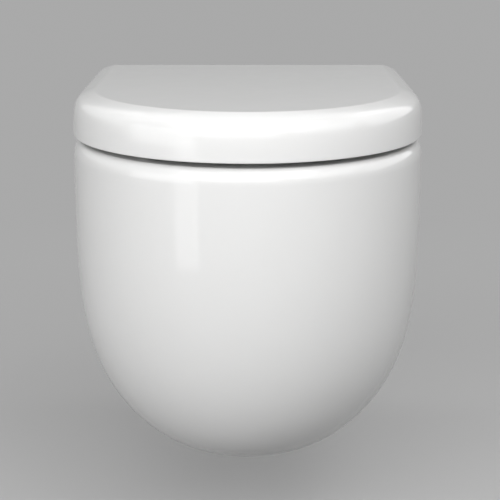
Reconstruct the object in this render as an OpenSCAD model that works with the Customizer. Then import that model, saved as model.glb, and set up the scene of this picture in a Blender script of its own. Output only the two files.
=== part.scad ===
// Wall hung toilet with a soft closing seat and a wrap-over lid.
// +X right, +Y into the wall, +Z up. The wall is the plane y = 0 and the origin lies
// midway between the two wall fixings.

/* [Pan] */
// Width of the pan and of the lid
body_w = 360; // [340:1:380]
// Reach of the pan from the wall
reach = 501; // [490:1:540]
// Length of the half ellipse at the front
nose_l = 213; // [180:1:240]
// Height of the whole pan
pan_h = 329; // [323:1:348]
// Height of the rim deck above the wall fixings
rim_z = 73; // [70:1:78]
// Width of the flat underside
keel_w = 187; // [150:1:230]
// Reach of the flat underside from the wall
keel_reach = 300; // [260:1:340]
// Exponent of the side profile: higher stays upright for longer
side_exp = 4.7; // [3:0.1:6]
// Exponent of the front profile: higher stays upright for longer
front_exp = 3.0; // [2:0.1:5]
// Roundness of the front profile near the underside
front_round = 2.75; // [2:0.05:4]
// Width of the pan's rounded top edge, seen from above
shoulder_w = 9; // [5:0.5:11]
// Height of the pan's rounded top edge
shoulder_h = 16; // [10:0.5:18]
// Thickness of the ceramic side wall
wall = 14; // [11:0.5:16]
// Thickness of the rim deck
deck_t = 14; // [11:0.5:16]
// Thickness of the ceramic floor
floor_t = 12; // [9:0.5:13]

/* [Bowl] */
// Width of the bowl at the rim
bowl_w = 256; // [230:1:270]
// Distance from the pan's front to the bowl's front edge
bowl_front = 53; // [48:1:60]
// Distance from the wall to the bowl's rear edge
bowl_back = 118; // [112:1:125]
// Depth of the bowl below the rim
bowl_depth = 301; // [288:1:303]
// Thickness of the bowl's wall
bowl_wall = 10; // [8:0.5:12]
// Width of the sump at the bottom of the bowl
sump_w = 84; // [78:1:96]
// Length of the sump at the bottom of the bowl
sump_l = 66; // [60:1:76]
// How far the middle of the bowl bows forward
bowl_bow = 41; // [38:1:43]
// Radius of the bowl's rim edge
bowl_edge_r = 8; // [4:0.5:12]

/* [Waste and flush] */
// Height of the waste outlet's centre, measured down from the fixings
outlet_drop = 100; // [95:1:105]
// Outer diameter of the waste spigot
outlet_d = 102; // [100:0.5:104]
// Length of the straight waste spigot
outlet_l = 45; // [40:1:50]
// Wall thickness of the waste spigot
outlet_wall = 7; // [6:0.5:9]
// Diameter of the trap at the bowl
trap_d = 66; // [62:1:72]
// Height of the trap's middle at the weir, above the waste outlet's centre
weir_lift = 24; // [18:1:28]
// Height of the flush inlet's centre above the fixings
inlet_z = 35; // [33:1:38]
// Bore of the ceramic flush inlet
inlet_d = 55; // [53:0.5:57]
// Outer diameter of the ceramic flush inlet
inlet_od = 71; // [69:1:74]
// Diameter of the flush pipe that the inlet seal takes
flush_pipe_d = 45; // [43:0.5:47]
// Length of the inlet seal
inlet_seal_l = 30; // [20:1:35]
// Width of the flush outlet in the bowl
jet_w = 80; // [50:1:90]
// Height of the flush outlet in the bowl
jet_h = 24; // [16:1:28]

/* [Wall fixing] */
// Spacing of the two wall studs
stud_spacing = 180; // [178:1:184]
// Bore for an M12 wall stud
stud_bore_d = 13; // [12.5:0.1:14]
// Diameter of the barrel on the stud
barrel_d = 25.4; // [24:0.2:27]
// Length of the barrel on the stud
barrel_l = 50; // [45:1:54]
// Outer diameter of the ceramic socket round the barrel
socket_od = 46; // [42:1:48]
// Depth of the ceramic socket
socket_l = 82; // [80:1:86]
// Thickness of the ceramic web that carries the sockets
web_t = 12; // [10:1:14]
// Diameter of the side clamp screw
clamp_d = 8; // [6:0.5:9]
// Length of the side clamp screw
clamp_l = 42; // [36:1:46]
// Distance of the clamp screw from the wall
clamp_y = 26; // [24:1:30]
// Diameter of the access hole in the side of the pan
access_d = 22; // [18:1:24]
// Diameter of the cap over the access hole
cap_d = 28; // [26:1:30]

/* [Lid] */
// Height of the gap between the pan and the lid
lid_gap = 5.5; // [4.5:0.5:6.5]
// Height of the lid
lid_h = 44.5; // [42:0.5:47]
// Distance from the wall to the lid's rear edge
lid_back = 72; // [70:1:80]
// Width of the lid's rounded edge, seen from above
lid_edge_w = 22.5; // [18:0.5:24]
// Slope of the rounded edge where it leaves the lid's flat top, in degrees
lid_crest = 17; // [8:1:22]
// Thickness of the lid's side skirt
skirt_t = 6; // [4:0.5:7]
// Thickness of the lid's top
roof_t = 7; // [6:0.5:8]

/* [Seat] */
// Height of the seat's underside above the rim deck
seat_lift = 7; // [6.5:0.5:8]
// Thickness of the seat
seat_t = 26; // [22:1:27]
// Gap between the seat and the lid's skirt
seat_gap = 2.5; // [1.5:0.5:4]
// Distance from the lid's rear edge to the seat's rear edge
seat_set = 6; // [5:0.5:10]
// Width of the opening in the seat
hole_w = 224; // [200:1:235]
// Distance from the pan's front to the opening in the seat
hole_front = 71; // [62:1:80]
// Distance from the wall to the opening in the seat
hole_back = 150; // [146:1:160]

/* [Hinges] */
// Spacing of the two hinge posts
post_spacing = 155; // [150:1:160]
// Distance from the lid's rear edge back to the hinge axis
axis_set = 14; // [13.5:0.5:16]
// Height of the hinge axis above the rim deck
axis_lift = 31; // [30:0.5:32]
// Outer diameter of the hinge barrels
knuckle_d = 22; // [20:0.5:23]
// Length of one seat or lid barrel
knuckle_l = 21.5; // [19:0.5:24]
// Width of the hinge post's barrel
post_w = 20; // [18:0.5:22]
// Side play between neighbouring barrels
side_play = 1; // [0.5:0.1:1.5]
// Diameter of the dampers and of the bushes in the barrels
damper_d = 17; // [15:0.5:17.5]
// Diameter of the hinge pins and of the damper shafts
pin_d = 8; // [6:0.5:9]
// Thickness of the knuckles' screw plates
leaf_t = 4; // [3:0.5:4.5]
// Length of the knuckles' screw plates under the seat and the lid
leaf_l = 42; // [38:1:48]
// Diameter of the hinge base plate
base_d = 32; // [30:1:34]
// Thickness of the hinge base plate
base_t = 3; // [2:0.5:3]
// Thickness of the gasket under the base plate
gasket_t = 1; // [0.5:0.5:1]
// Diameter of the foot of the hinge post
foot_d = 22; // [20:0.5:22]
// Diameter of the spigot that carries the hinge post
spigot_d = 14; // [13:0.5:15]
// Height of the spigot that carries the hinge post
spigot_h = 10; // [9:0.5:11]
// Diameter of the hinge bolt
bolt_d = 6; // [5:0.5:6]
// Diameter of the hinge hole in the pan
deck_hole_d = 15; // [14:0.5:16]
// Length of the rubber expansion sleeve
sleeve_l = 31; // [28:1:34]
// Diameter of the sleeve's bulge under the deck
bulge_d = 18; // [17:0.5:19]
// Diameter of the grub screw in the hinge post
grub_d = 5; // [4:0.5:5]
// Diameter of the knuckle screws
screw_d = 4; // [3:0.5:4.5]

/* [Pads] */
// Diameter of the rubber pads
pad_d = 17; // [14:1:20]
// Diameter of the pegs that hold the pads
peg_d = 6; // [5:0.5:8]
// Length of the pegs that hold the pads
peg_l = 3; // [2:0.5:3.5]

/* [Fits] */
// Radial clearance of pins, shafts and pressed pieces
fit = 0.05; // [0.02:0.01:0.08]
// Gap between pieces that come to rest on each other
rest = 0.2; // [0.1:0.05:0.3]

/* [Hidden] */
$fn = 64;
nose_steps = 40;
profile_steps = 16;
edge_steps = 4;
lid_steps = 10;
bowl_steps = 14;
ring_sides = 44;
trap_sides = 22;
trap_steps = 9;
corner_steps = 5;
corner_r = 14;
bowl_exp = 2.3;
bowl_fall = 2.2;
bowl_slope = 1.5;
bowl_low = 1.6;
bowl_peak = 1.2;
sump_set = 10;
weir_set = 4;
sump_pull = [48, 20];
climb_pull = 80;
fall_pull = 38;
jet_reach = 24;
hole_exp = 2.2;
crest_pull = 0.93;
skirt_pull = 0.82;
over = 1;
loose = 2 * fit;
barrel_play = 0.6;

half_w = body_w / 2;
bowl_l = reach - bowl_back - bowl_front;
hole_l = reach - hole_back - hole_front;
lid_z = rim_z + lid_gap;
roof_z = lid_z + lid_h - roof_t;
seat_z = rim_z + seat_lift;
seat_top = seat_z + seat_t;
seat_inset = skirt_t + seat_gap;
seat_back = lid_back + seat_set;
axis_y = lid_back - axis_set;
axis_z = rim_z + axis_lift;
knuckle_r = knuckle_d / 2;
post_x = post_spacing / 2;
seat_knuckle_x = post_x - post_w / 2 - side_play - knuckle_l;
lid_knuckle_x = post_x + post_w / 2 + side_play;
socket_wall = 1.5;
damper_l = knuckle_l - socket_wall;
base_z = rim_z + gasket_t;
foot_z = base_z + base_t;
web_y = socket_l - web_t / 2;
fix_x = stud_spacing / 2;
insert_x = fix_x + socket_od / 2;
insert_l = 15;
insert_d = 2 * clamp_d;
flange_t = 2;
cap_t = 2.4;
cap_face = 0.5;
outlet_bore_d = outlet_d - 2 * outlet_wall;
jet_z = inlet_z;
chamber_wall = 10;
chamber_y = 48;
screw_from = 12;

// Outlines seen from above run clockwise, from the right rear to the left rear
function outline(hw, front, nose, back) = concat([[hw, -back]],
    [for (i = [0:nose_steps]) let(t = 90 - 180 * i / nose_steps)
        [hw * sin(t), -(front - nose + nose * cos(t))]],
    [[-hw, -back]]);
function ring(points, z) = [for (p = points) [p[0], p[1], z]];
function signed_pow(v, e) = sign(v) * pow(abs(v), e);
function super_ring(hw, hl, cy, e, z, n) = [for (i = [0:n - 1]) let(t = -360 * i / n)
    [hw * signed_pow(cos(t), 2 / e), cy + hl * signed_pow(sin(t), 2 / e), z]];
function joined(lists) = [for (l = lists) for (p = l) p];

// Faces between ring a and ring b, which are lists of point numbers; out = true faces away
function strip(a, b, out = true, wrap = false) = joined([for (i = [0:len(a) - (wrap ? 1 : 2)])
    let(j = (i + 1) % len(a))
    out ? [[a[i], a[j], b[j]], [a[i], b[j], b[i]]] : [[b[j], a[j], a[i]], [b[i], b[j], a[i]]]]);
function numbers(k, n) = [for (i = [0:n - 1]) k * n + i];
function reversed(l) = [for (i = [len(l) - 1:-1:0]) l[i]];

// A closed solid through closed rings, from the lowest to the highest
module loft(rings) {
    n = len(rings[0]);
    top = len(rings) - 1;
    polyhedron(joined(rings), concat(
        joined([for (k = [0:top - 1]) strip(numbers(k, n), numbers(k + 1, n), wrap = true)]),
        [reversed(numbers(0, n)), numbers(top, n)]));
}

// A shell that is open at the back, and at the bottom too unless it has a floor
module open_shell(outer, inner, has_floor) {
    n = len(outer[0]);
    m = len(outer);
    o = [for (k = [0:m - 1]) numbers(k, n)];
    i = [for (k = [0:m - 1]) numbers(m + k, n)];
    right_o = [for (r = o) r[0]];
    right_i = [for (r = i) r[0]];
    left_o = [for (r = o) r[n - 1]];
    left_i = [for (r = i) r[n - 1]];
    top = m - 1;
    polyhedron(concat(joined(outer), joined(inner)), concat(
        joined([for (k = [0:top - 1]) strip(o[k], o[k + 1])]),
        joined([for (k = [0:top - 1]) strip(i[k], i[k + 1], false)]),
        strip(right_o, right_i),
        strip(left_i, left_o),
        [o[top], reversed(i[top]), [o[top][0], o[top][n - 1], i[top][n - 1], i[top][0]]],
        has_floor
            ? [reversed(o[0]), i[0], [o[0][0], i[0][0], i[0][n - 1], o[0][n - 1]]]
            : strip(o[0], i[0], false)));
}

module pair() {
    children();
    mirror([1, 0, 0]) children();
}

// A cylinder from x0 to x1 on an axis parallel to X
module x_rod(x0, x1, d, y, z) {
    translate([x0, -y, z]) rotate([0, 90, 0]) cylinder(d = d, h = x1 - x0);
}

// A cylinder from the wall distance y0 to y1 on an axis parallel to Y
module y_rod(y0, y1, d, x, z) {
    translate([x, -y0, z]) rotate([90, 0, 0]) cylinder(d = d, h = y1 - y0);
}

// Pan: half width and reach at the share s of the height, counted down from the rim
function side_at(s) = keel_w / 2 + (half_w - keel_w / 2) * (1 - pow(s, side_exp));
function front_at(s) = keel_reach
    + (reach - keel_reach) * pow(max(0, 1 - pow(s, front_exp)), 1 / front_round);
function pan_outline(s, inset) = let(f = front_at(s))
    outline(side_at(s) - inset, f - inset, nose_l * f / reach - inset, 0);
edge_s = shoulder_h / pan_h;
inner_r = shoulder_w - 2;
inner_top = rim_z - deck_t;
inner_h = pan_h - deck_t - floor_t;
levels = [for (k = [profile_steps:-1:0]) edge_s + (1 - edge_s) * sin(90 * k / profile_steps)];
bends = [for (k = [1:edge_steps]) 90 * k / edge_steps];
pan_outer = concat([for (s = levels) ring(pan_outline(s, 0), rim_z - pan_h * s)],
    [for (t = bends) ring(pan_outline(edge_s, shoulder_w * (1 - cos(t))),
        rim_z - shoulder_h * (1 - sin(t)))]);
pan_inner = concat([for (s = levels) ring(pan_outline(s, wall),
        inner_top - inner_r - (inner_h - inner_r) * (s - edge_s) / (1 - edge_s))],
    [for (t = bends) ring(pan_outline(edge_s, wall + inner_r * (1 - cos(t))),
        inner_top - inner_r * (1 - sin(t)))]);

// Bowl: rings grow outwards by g, and u runs from the rim down to the sump. The middle of
// the bowl bows forward on the way down, so that the trap rises behind its rear wall
function bowl_hw(u) = sump_w / 2 + (bowl_w - sump_w) / 2 * (1 - pow(u, bowl_fall));
function bowl_hl(u) = sump_l / 2 + (bowl_l - sump_l) / 2 * (1 - pow(u, bowl_slope));
function bowl_mid(u) = bowl_back + bowl_l / 2 + bowl_bow * pow(sin(180 * pow(u, bowl_low)), bowl_peak)
    + sump_set * u;
function bowl_ring(u, g, z) = super_ring(bowl_hw(u) + g, bowl_hl(u) + g, -bowl_mid(u), bowl_exp, z,
    ring_sides);
bowl_levels = [for (k = [bowl_steps:-1:0]) sin(90 * k / bowl_steps)];
module bowl_outside() {
    top = rim_z - deck_t / 2;
    h = bowl_depth - deck_t / 2 + bowl_wall;
    loft([for (u = bowl_levels) bowl_ring(u, bowl_wall, top - h * u)]);
}
module bowl_inside() {
    top = rim_z - bowl_edge_r;
    h = bowl_depth - bowl_edge_r;
    loft(concat([for (u = bowl_levels) bowl_ring(u, 0, top - h * u)],
        [for (t = bends) bowl_ring(0, bowl_edge_r * (1 - cos(t)), top + bowl_edge_r * sin(t))],
        [bowl_ring(0, bowl_edge_r, rim_z + over)]));
}

// Trap: a tube of growing radius from the sump, over the weir, to the spigot
sump_z = rim_z - bowl_depth;
weir = [-bowl_back - weir_set, weir_lift - outlet_drop];
trap_in = [-bowl_mid(1), sump_z + trap_d / 2];
trap_out = [-outlet_l, -outlet_drop];
climb_a = [weir[0] - sump_pull[0], trap_in[1] - sump_pull[1]];
climb_b = [weir[0] - climb_pull, weir[1]];
fall_a = [weir[0] + fall_pull, weir[1]];
fall_b = [-outlet_l - fall_pull, -outlet_drop];
function bezier(a, b, c, d, t) = pow(1 - t, 3) * a + 3 * pow(1 - t, 2) * t * b
    + 3 * (1 - t) * t * t * c + pow(t, 3) * d;
route = concat([for (k = [0:trap_steps]) bezier(trap_in, climb_a, climb_b, weir, k / trap_steps)],
    [for (k = [1:trap_steps - 2]) bezier(weir, fall_a, fall_b, trap_out, k / (trap_steps - 2))]);
function tube_ring(k, r) = let(last = len(route) - 1,
        d = route[min(k + 1, last)] - route[max(k - 1, 0)], t = k == last ? [1, 0] : d / norm(d))
    [for (i = [0:trap_sides - 1]) let(a = 360 * i / trap_sides)
        [r * cos(a), route[k][0] - r * sin(a) * t[1], route[k][1] + r * sin(a) * t[0]]];
module trap(grow) {
    last = len(route) - 1;
    loft([for (k = [0:last])
        tube_ring(k, trap_d / 2 + (outlet_bore_d / 2 - over - trap_d / 2) * k / last + grow)]);
}

module socket() {
    y_rod(0, socket_l, socket_od, fix_x, 0);
    x_rod(fix_x, insert_x + insert_l, insert_d + 2 * chamber_wall, clamp_y, 0);
}
module socket_holes() {
    y_rod(-over, barrel_l + 2 * over, barrel_d + 2 * barrel_play, fix_x, 0);
    x_rod(fix_x, insert_x + over, clamp_d + over, clamp_y, 0);
    x_rod(insert_x, insert_x + insert_l + over, insert_d + 2 * fit, clamp_y, 0);
    x_rod(half_w - wall - over, half_w + over, access_d, clamp_y, 0);
    x_rod(half_w - cap_face - cap_t - fit, half_w + over, cap_d + 2 * fit, clamp_y, 0);
}

// Ceramic pan: skirt, deck, bowl, trap, flush inlet, web and wall sockets in one casting
module pan() {
    color("#f3f3f1") difference() {
        union() {
            open_shell(pan_outer, pan_inner, true);
            bowl_outside();
            trap(outlet_wall);
            y_rod(0, outlet_l, outlet_d, 0, -outlet_drop);
            y_rod(0, chamber_y + chamber_wall, inlet_od, 0, inlet_z);
            translate([-jet_w / 2 - chamber_wall, -bowl_back - jet_reach, jet_z - jet_h / 2 - chamber_wall])
                cube([jet_w + 2 * chamber_wall, bowl_back + jet_reach - chamber_y,
                    rim_z - deck_t / 2 - jet_z + jet_h / 2 + chamber_wall]);
            translate([-half_w + wall / 2, -web_y - web_t / 2, -socket_od / 2 - chamber_wall])
                cube([body_w - wall, web_t, rim_z - deck_t / 2 + socket_od / 2 + chamber_wall]);
            pair() socket();
        }
        bowl_inside();
        trap(0);
        y_rod(-over, outlet_l + over, outlet_bore_d, 0, -outlet_drop);
        y_rod(-over, chamber_y + over, inlet_d, 0, inlet_z);
        translate([-jet_w / 2, -bowl_back - jet_reach - over, jet_z - jet_h / 2])
            cube([jet_w, bowl_back + jet_reach + over - chamber_y, jet_h]);
        pair() socket_holes();
        pair() translate([post_x, -axis_y, inner_top - over])
            cylinder(d = deck_hole_d, h = deck_t + 2 * over);
    }
}

module inlet_seal() {
    color("#2c2c2e") difference() {
        y_rod(0, inlet_seal_l, inlet_d - 2 * fit, 0, inlet_z);
        y_rod(-over, inlet_seal_l + over, flush_pipe_d + 2 * loose, 0, inlet_z);
    }
}

// Barrels that turn onto the wall studs; a cone at the side takes the clamp screw's tip
tip_x = fix_x + barrel_d / 2 - clamp_d / 2;
module wall_barrels() {
    color("#c9b26a") pair() difference() {
        y_rod(0, barrel_l, barrel_d, fix_x, 0);
        y_rod(-over, barrel_l + over, stud_bore_d, fix_x, 0);
        translate([tip_x, -clamp_y, 0]) rotate([0, 90, 0])
            cylinder(d1 = 0, d2 = 2 * clamp_d, h = clamp_d);
    }
}

module clamp_inserts() {
    color("#e6e3da") pair() difference() {
        union() {
            x_rod(insert_x + fit, insert_x + insert_l, insert_d, clamp_y, 0);
            x_rod(insert_x + insert_l, insert_x + insert_l + flange_t, insert_d + 2 * flange_t, clamp_y, 0);
        }
        x_rod(insert_x - over, insert_x + insert_l + flange_t + over, clamp_d + 2 * fit, clamp_y, 0);
    }
}

module clamp_screws() {
    cone_l = clamp_d / 2;
    tip = tip_x + rest;
    color("#b9bcc0") pair() difference() {
        union() {
            translate([tip, -clamp_y, 0]) rotate([0, 90, 0])
                cylinder(d1 = 0, d2 = clamp_d, h = cone_l);
            x_rod(tip + cone_l, tip + clamp_l, clamp_d, clamp_y, 0);
        }
        translate([tip + clamp_l - cone_l, -clamp_y, 0]) rotate([0, 90, 0])
            cylinder(d = clamp_d / 2, h = cone_l + over, $fn = 6);
    }
}

module access_caps() {
    color("#f3f3f1") pair() {
        x_rod(half_w - cap_face - cap_t, half_w - cap_face, cap_d, clamp_y, 0);
        x_rod(half_w - wall + over, half_w - cap_face - cap_t, access_d - 2 * fit, clamp_y, 0);
    }
}

// Lid: a wrap-over cover that is open below and behind. Its edge curves from the skirt up to a
// crest round the flat top; an edge point is [distance inwards, height above the skirt's lip]
lip_r = 1;
crest = crest_pull * lid_edge_w * [cos(lid_crest), sin(lid_crest)];
lid_edge = [for (k = [1:lid_steps]) bezier([0, 0], [0, skirt_pull * lid_h],
    [lid_edge_w, lid_h] - crest, [lid_edge_w, lid_h], k / lid_steps)];
function lid_ring(inset, z) = ring(outline(half_w - inset, reach - inset, nose_l - inset, lid_back), z);
lid_outer = concat([for (t = [0, 45, 90]) lid_ring(lip_r * (1 - sin(t)), lid_z + lip_r * (1 - cos(t)))],
    [for (e = lid_edge) lid_ring(e[0], lid_z + e[1])]);
lid_inner = concat([for (t = [0, 45, 90]) lid_ring(skirt_t, lid_z + lip_r * t / 90)],
    [for (e = lid_edge) lid_ring(skirt_t + e[0] * (1 - skirt_t / lid_edge_w),
        lid_z + e[1] * (1 - roof_t / lid_h))]);
module lid() {
    color("#f6f6f4") difference() {
        open_shell(lid_outer, lid_inner, false);
        pair() leaf_screws(lid_knuckle_x) translate([0, 0, roof_z - over])
            cylinder(d = screw_d + 2 * fit, h = over + lid_bite + fit);
        on_seat(lid_pad_at) translate([0, 0, roof_z - over])
            cylinder(d = peg_d + 2 * fit, h = peg_l + over + fit);
    }
}

// Seat: the outer edge follows the lid's skirt, and rays from the opening's centre meet its edge
hole_c = [0, -(hole_back + hole_l / 2)];
function arc(cx, cy, r, from, to, n) = [for (k = [0:n]) let(t = from + (to - from) * k / n)
    [cx + r * cos(t), cy + r * sin(t)]];
seat_hw = half_w - seat_inset;
seat_front = reach - seat_inset;
seat_nose = nose_l - seat_inset;
rear_steps = 12;
side_steps = 4;
seat_outline = concat(
    [for (i = [0:nose_steps]) let(t = 90 - 180 * i / nose_steps)
        [seat_hw * sin(t), -(seat_front - seat_nose + seat_nose * cos(t))]],
    [for (k = [1:side_steps - 1]) [-seat_hw, -(seat_front - seat_nose)
        + (seat_front - seat_nose - seat_back - corner_r) * k / side_steps]],
    arc(-seat_hw + corner_r, -seat_back - corner_r, corner_r, 180, 90, corner_steps),
    [for (k = [1:rear_steps - 1]) [(seat_hw - corner_r) * (2 * k / rear_steps - 1), -seat_back]],
    arc(seat_hw - corner_r, -seat_back - corner_r, corner_r, 90, 0, corner_steps),
    [for (k = [1:side_steps - 1]) [seat_hw, -(seat_back + corner_r)
        - (seat_front - seat_nose - seat_back - corner_r) * k / side_steps]]);
function hole_point(p) = let(d = p - hole_c,
        r = pow(pow(abs(d[0]) / (hole_w / 2), hole_exp) + pow(abs(d[1]) / (hole_l / 2), hole_exp),
            -1 / hole_exp))
    hole_c + d * r;
// Section points: [edge they hang on (0 outer, 1 inner), distance inwards, height]
seat_out_r = 14;
seat_in_r = 16;
seat_foot_r = 2;
seat_section = concat([[0, seat_foot_r, 0], [0, 0, seat_foot_r]],
    [for (t = [0:22.5:90]) [0, seat_out_r * (1 - cos(t)), seat_t - seat_out_r * (1 - sin(t))]],
    [for (t = [90:-22.5:0]) [1, -seat_in_r * (1 - cos(t)), seat_t - over - seat_in_r * (1 - sin(t))]],
    [[1, 0, seat_foot_r], [1, -seat_foot_r, 0]]);
function seat_point(p, edge, inward) = let(q = hole_point(p), w = norm(q - p))
    p + (q - p) * (edge * w + inward) / w;
module seat_ring() {
    n = len(seat_outline);
    m = len(seat_section);
    polyhedron(joined([for (s = seat_section) ring([for (p = seat_outline) seat_point(p, s[0], s[1])],
        seat_z + s[2])]),
        joined([for (k = [0:m - 1]) strip(numbers(k, n), numbers((k + 1) % m, n), wrap = true)]));
}
// Places on the middle of the seat's ring: 0 to 1 goes round the nose from its right end, and
// below 0 goes back along the straight side, by the share of its length
seat_pad_at = [-0.6, 0.27];
lid_pad_at = [-0.24, 0.33];
function seat_middle(share) = let(t = 90 - 180 * share,
        p = share < 0 ? [seat_hw, -(seat_front - seat_nose)
            - (seat_front - seat_nose - seat_back) * share]
            : [seat_hw * sin(t), -(seat_front - seat_nose + seat_nose * cos(t))])
    (p + hole_point(p)) / 2;
module on_seat(shares) {
    for (share = shares) pair() translate(seat_middle(share)) children();
}
module seat() {
    color("#f6f6f4") difference() {
        seat_ring();
        pair() translate([seat_knuckle_x - over, -seat_back - leaf_l, seat_z - over])
            cube([knuckle_l + 2 * over, leaf_l + over, leaf_t + over + fit]);
        pair() leaf_screws(seat_knuckle_x) translate([0, 0, seat_z])
            cylinder(d = screw_d + 2 * fit, h = leaf_t + seat_bite + fit);
        on_seat(seat_pad_at) translate([0, 0, seat_z - over])
            cylinder(d = peg_d + 2 * fit, h = peg_l + over + fit);
    }
}

module seat_pads() {
    color("#d9d9d6") on_seat(seat_pad_at) {
        translate([0, 0, rim_z + rest]) cylinder(d = pad_d, h = seat_lift - rest - fit);
        translate([0, 0, seat_z - fit]) cylinder(d = peg_d, h = peg_l);
    }
}

module lid_pads() {
    color("#d9d9d6") on_seat(lid_pad_at) {
        translate([0, 0, seat_top + rest]) cylinder(d = pad_d, h = roof_z - seat_top - rest - fit);
        translate([0, 0, roof_z - fit]) cylinder(d = peg_d, h = peg_l);
    }
}

// Hinge posts stand over the deck holes and are locked to the spigots by grub screws
grub_z = foot_z + spigot_h / 2;
bore_d = pin_d + 2 * fit;
module hinge_post() {
    foot_h = axis_lift - gasket_t - base_t - knuckle_r - over;
    color("#c8cacc") difference() {
        union() {
            translate([post_x, -axis_y, foot_z]) cylinder(d = foot_d, h = foot_h);
            translate([post_x, -axis_y, foot_z]) cylinder(d = post_w - 2 * fit, h = axis_z - foot_z);
            x_rod(post_x - post_w / 2, post_x + post_w / 2, knuckle_d, axis_y, axis_z);
        }
        translate([post_x, -axis_y, foot_z - over])
            cylinder(d = spigot_d + 2 * fit, h = spigot_h + over + rest);
        x_rod(post_x - post_w, post_x + post_w, bore_d, axis_y, axis_z);
        y_rod(axis_y - foot_d, axis_y - spigot_d / 4, grub_d + 2 * fit, post_x, grub_z);
    }
}
module left_hinge_post() {
    mirror([1, 0, 0]) hinge_post();
}
module right_hinge_post() {
    hinge_post();
}

module hinge_base_plates() {
    head_h = bolt_d - over;
    color("#c8cacc") pair() translate([post_x, -axis_y, 0]) difference() {
        union() {
            translate([0, 0, base_z]) cylinder(d = base_d, h = base_t);
            translate([0, 0, foot_z - over]) cylinder(d = spigot_d, h = spigot_h + over);
        }
        translate([0, 0, base_z - over]) cylinder(d = bolt_d + 2 * loose, h = spigot_h + base_t + 2 * over);
        translate([0, 0, foot_z + spigot_h - head_h])
            cylinder(d = spigot_d - 2 * over, h = head_h + over);
    }
}

module hinge_gaskets() {
    color("#3a3a3c") pair() translate([post_x, -axis_y, rim_z]) difference() {
        cylinder(d = base_d, h = gasket_t);
        translate([0, 0, -over]) cylinder(d = deck_hole_d, h = gasket_t + 2 * over);
    }
}

nut_h = 8;
bulge_slope = 4;
nut_z = base_z - sleeve_l - nut_h;
module hinge_bolts() {
    head_h = bolt_d - over;
    head_z = foot_z + spigot_h - head_h;
    color("#b9bcc0") pair() translate([post_x, -axis_y, 0]) difference() {
        union() {
            translate([0, 0, head_z]) cylinder(d = spigot_d - 4 * over, h = head_h - rest);
            translate([0, 0, nut_z - over]) cylinder(d = bolt_d, h = head_z - nut_z + 2 * over);
        }
        translate([0, 0, head_z + over]) cylinder(d = bolt_d - over, h = head_h, $fn = 6);
    }
}

module hinge_sleeves() {
    color("#2c2c2e") pair() translate([post_x, -axis_y, base_z]) rotate_extrude() polygon([
        [bolt_d / 2 + fit, 0], [deck_hole_d / 2 - fit, 0],
        [deck_hole_d / 2 - fit, -deck_t - gasket_t - over], [bulge_d / 2, -deck_t - gasket_t - bulge_slope],
        [bulge_d / 2, -sleeve_l + bulge_slope], [deck_hole_d / 2 - fit, -sleeve_l],
        [bolt_d / 2 + fit, -sleeve_l]]);
}

module hinge_nuts() {
    color("#c9b26a") pair() translate([post_x, -axis_y, nut_z]) difference() {
        cylinder(d = deck_hole_d - over, h = nut_h, $fn = 6);
        translate([0, 0, -over]) cylinder(d = bolt_d + 2 * fit, h = nut_h + 2 * over);
    }
}

module hinge_grub_screws() {
    hex_l = 2;
    tip_y = axis_y - spigot_d / 2 - fit;
    end_y = axis_y - foot_d / 2;
    color("#b9bcc0") pair() difference() {
        y_rod(end_y, tip_y, grub_d, post_x, grub_z);
        translate([post_x, -end_y + over, grub_z]) rotate([90, 0, 0])
            cylinder(d = grub_d / 2, h = hex_l + over, $fn = 6);
    }
}

// Knuckles: a barrel on the hinge axis with a leaf that is screwed to the seat or the lid
function leaf_y(k) = seat_back + screw_from + k * (leaf_l - 2 * screw_from);
seat_bite = 14;
lid_bite = 4;
module leaf_screws(x) {
    for (k = [0, 1]) translate([x + knuckle_l / 2, -leaf_y(k), 0]) children();
}
module knuckle(x, arm, toward) {
    open_x = x + (toward > 0 ? knuckle_l - damper_l : -over);
    difference() {
        union() {
            x_rod(x, x + knuckle_l, knuckle_d, axis_y, axis_z);
            translate([x, 0, 0]) rotate([90, 0, 90]) linear_extrude(knuckle_l) polygon(arm);
        }
        x_rod(open_x, open_x + damper_l + over, damper_d + 2 * fit, axis_y, axis_z);
        leaf_screws(x) translate([0, 0, rim_z]) cylinder(d = screw_d + 2 * loose, h = lid_h + lid_gap);
    }
}
leaf_end = seat_back + leaf_l - fit;
arm_rise = 2;
arm_set = 3;
seat_arm = [[-axis_y, axis_z - knuckle_r], [-axis_y - knuckle_r, axis_z],
    [-seat_back + arm_rise, seat_z + leaf_t], [-leaf_end, seat_z + leaf_t], [-leaf_end, seat_z],
    [-axis_y - knuckle_r + arm_set, seat_z]];
lid_arm = [[-axis_y, axis_z + knuckle_r], [-axis_y - knuckle_r, axis_z],
    [-seat_back - arm_rise, roof_z - leaf_t], [-leaf_end, roof_z - leaf_t], [-leaf_end, roof_z],
    [-lid_back - over, roof_z]];
module right_seat_knuckle() {
    color("#c8cacc") difference() {
        knuckle(seat_knuckle_x, seat_arm, 1);
        leaf_screws(seat_knuckle_x) translate([0, 0, seat_z - over])
            cylinder(d = 2 * screw_d, h = leaf_t / 2 + over);
    }
}
module left_seat_knuckle() {
    mirror([1, 0, 0]) right_seat_knuckle();
}
module right_lid_knuckle() {
    color("#c8cacc") difference() {
        knuckle(lid_knuckle_x, lid_arm, -1);
        leaf_screws(lid_knuckle_x) translate([0, 0, roof_z - leaf_t - over])
            cylinder(d = 2 * screw_d, h = leaf_t / 2 + over);
    }
}
module left_lid_knuckle() {
    mirror([1, 0, 0]) right_lid_knuckle();
}

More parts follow.
